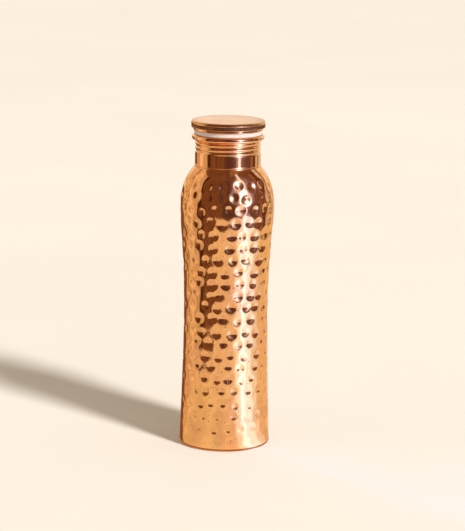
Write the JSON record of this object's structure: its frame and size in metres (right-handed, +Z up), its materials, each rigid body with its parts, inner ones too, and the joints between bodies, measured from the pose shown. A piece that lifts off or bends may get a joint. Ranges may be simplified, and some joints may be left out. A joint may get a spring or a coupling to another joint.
{
  "type": "copper water bottle",
  "caption": "Hammered copper water bottle with a waisted body, a threaded neck with a rolled lip, a white seal and a knurled screw-in stopper cap.",
  "frame": {"origin": "middle of the foot, on the surface that the bottle stands on", "axes": "+Z up along the bottle's axis, X and Y level"},
  "size_m": [0.076, 0.076, 0.265],
  "materials": {
    "hammered_copper": "bright polished copper with round hammer dents",
    "polished_copper": "bright polished copper with fine turning lines",
    "satin_copper": "satin copper, darker in the knurling",
    "inner_copper": "duller pressed copper, less polished than the outside",
    "silicone_seal": "matt white silicone"
  },
  "bodies": {
    "bottle": {"body_shell": "hammered_copper", "base_pan": "inner_copper", "neck_collar": "polished_copper"},
    "seal": {"seal_ring": "silicone_seal"},
    "cap": {"cap_shell": "satin_copper", "cap_base_plate": "polished_copper", "plug_sleeve": "inner_copper", "plug_end_disc": "inner_copper"}
  },
  "joints": [
    {"name": "cap_lift", "type": "slide", "parent": "bottle", "child": "seal", "axis": [0, 0, 1], "range_m": [0, 0.0144]},
    {"name": "cap_turn", "type": "hinge", "parent": "seal", "child": "cap", "pos_m": [0, 0, 0.2537], "axis": [0, 0, 1], "range_deg": [0, 1440]}
  ],
  "couplings": [
    {"joint": "cap_lift", "follows": "cap_turn", "m_per_rad": 0.00057295}
  ]
}
